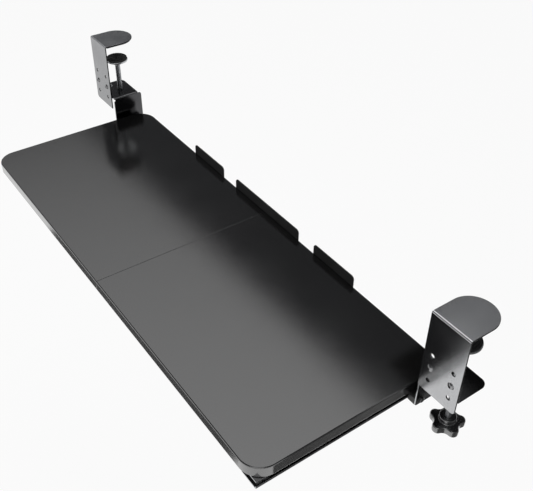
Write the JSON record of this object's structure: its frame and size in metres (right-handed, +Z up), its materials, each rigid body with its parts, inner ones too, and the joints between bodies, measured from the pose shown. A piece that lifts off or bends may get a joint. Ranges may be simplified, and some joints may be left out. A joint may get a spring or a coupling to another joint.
{
  "type": "clamp-on keyboard tray",
  "caption": "Slide-out keyboard tray for under a desk: a black board on roller rails, hung from screw clamps that grip the desk's front edge.",
  "frame": {"origin": "on the front top edge of the desk that it is clamped to, half-way between the two clamps", "axes": "+X to the right along the desk's edge, +Y in under the desk, +Z up"},
  "size_m": [0.806, 0.2561, 0.1648],
  "materials": {
    "board_laminate": "black low-pressure laminate on particle board with a soft satin grain",
    "graphite_paint": "grey metallic powder coat, satin",
    "black_paint": "black powder coat, half gloss",
    "zinc_steel": "bright zinc plate",
    "blackened_steel": "black oxide",
    "black_rubber": "matt rubber",
    "black_nylon": "moulded nylon",
    "white_nylon": "turned nylon",
    "knob_plastic": "black phenolic moulding, half gloss",
    "beech": "fluted beech, plain"
  },
  "bodies": {
    "clamp_frame": {"clamp_plate_left": "graphite_paint", "clamp_plate_right": "graphite_paint", "tongue_liner_left": "black_rubber", "tongue_liner_right": "black_rubber", "side_bracket_left": "black_paint", "side_bracket_right": "black_paint", "bracket_bolts_left": "blackened_steel", "bracket_bolts_right": "blackened_steel", "bracket_nuts_left": "zinc_steel", "bracket_nuts_right": "zinc_steel", "screw_nut_left": "zinc_steel", "screw_nut_right": "zinc_steel", "guide_block_left": "black_nylon", "guide_block_right": "black_nylon", "roller_axles_left": "blackened_steel", "roller_axles_right": "blackened_steel"},
    "tray": {"tray_board_left": "board_laminate", "tray_board_right": "board_laminate", "rail_left": "black_paint", "rail_right": "black_paint", "rail_front_stop_left": "black_rubber", "rail_front_stop_right": "black_rubber", "rail_rear_stop_left": "black_rubber", "rail_rear_stop_right": "black_rubber", "rail_screws_left": "zinc_steel", "rail_screws_right": "zinc_steel", "front_joining_bar": "zinc_steel", "rear_joining_bar": "zinc_steel", "joining_screws": "zinc_steel", "seam_dowels": "beech", "rear_stop_left": "black_paint", "rear_stop_centre": "black_paint", "rear_stop_right": "black_paint", "stop_screws": "zinc_steel"},
    "front_roller_left": {"front_roller_left": "white_nylon"},
    "rear_roller_left": {"rear_roller_left": "white_nylon"},
    "front_roller_right": {"front_roller_right": "white_nylon"},
    "rear_roller_right": {"rear_roller_right": "white_nylon"},
    "pad_left": {"pressure_pad_left": "zinc_steel", "pad_face_left": "black_rubber"},
    "screw_left": {"clamp_screw_left": "zinc_steel", "star_knob_left": "knob_plastic"},
    "pad_right": {"pressure_pad_right": "zinc_steel", "pad_face_right": "black_rubber"},
    "screw_right": {"clamp_screw_right": "zinc_steel", "star_knob_right": "knob_plastic"}
  },
  "joints": [
    {"name": "tray_slide", "type": "slide", "parent": "clamp_frame", "child": "tray", "axis": [0, 1, 0], "range_m": [0, 0.195]},
    {"name": "front_roller_left_spin", "type": "hinge", "parent": "clamp_frame", "child": "front_roller_left", "pos_m": [-0.3319, 0.011, -0.13635], "axis": [1, 0, 0], "range_deg": [-2759, 5]},
    {"name": "rear_roller_left_spin", "type": "hinge", "parent": "clamp_frame", "child": "rear_roller_left", "pos_m": [-0.3319, 0.039, -0.13665], "axis": [1, 0, 0], "range_deg": [-5, 2759]},
    {"name": "front_roller_right_spin", "type": "hinge", "parent": "clamp_frame", "child": "front_roller_right", "pos_m": [0.3319, 0.011, -0.13635], "axis": [1, 0, 0], "range_deg": [-2759, 5]},
    {"name": "rear_roller_right_spin", "type": "hinge", "parent": "clamp_frame", "child": "rear_roller_right", "pos_m": [0.3319, 0.039, -0.13665], "axis": [1, 0, 0], "range_deg": [-5, 2759]},
    {"name": "pad_lift_left", "type": "slide", "parent": "clamp_frame", "child": "pad_left", "axis": [0, 0, 1], "range_m": [-0.041, 0.029]},
    {"name": "screw_turn_left", "type": "hinge", "parent": "pad_left", "child": "screw_left", "pos_m": [-0.37725, 0.027, -0.1], "axis": [0, 0, 1], "range_deg": [-11830, 8370]},
    {"name": "pad_lift_right", "type": "slide", "parent": "clamp_frame", "child": "pad_right", "axis": [0, 0, 1], "range_m": [-0.041, 0.029]},
    {"name": "screw_turn_right", "type": "hinge", "parent": "pad_right", "child": "screw_right", "pos_m": [0.37725, 0.027, -0.1], "axis": [0, 0, 1], "range_deg": [-11830, 8370]}
  ],
  "couplings": [
    {"joint": "front_roller_left_spin", "follows": "tray_slide", "rad_per_m": -246.91},
    {"joint": "rear_roller_left_spin", "follows": "tray_slide", "rad_per_m": 246.91},
    {"joint": "front_roller_right_spin", "follows": "tray_slide", "rad_per_m": -246.91},
    {"joint": "rear_roller_right_spin", "follows": "tray_slide", "rad_per_m": 246.91},
    {"joint": "screw_turn_left", "follows": "pad_lift_left", "rad_per_m": 5026.5},
    {"joint": "screw_turn_right", "follows": "pad_lift_right", "rad_per_m": 5026.5}
  ]
}
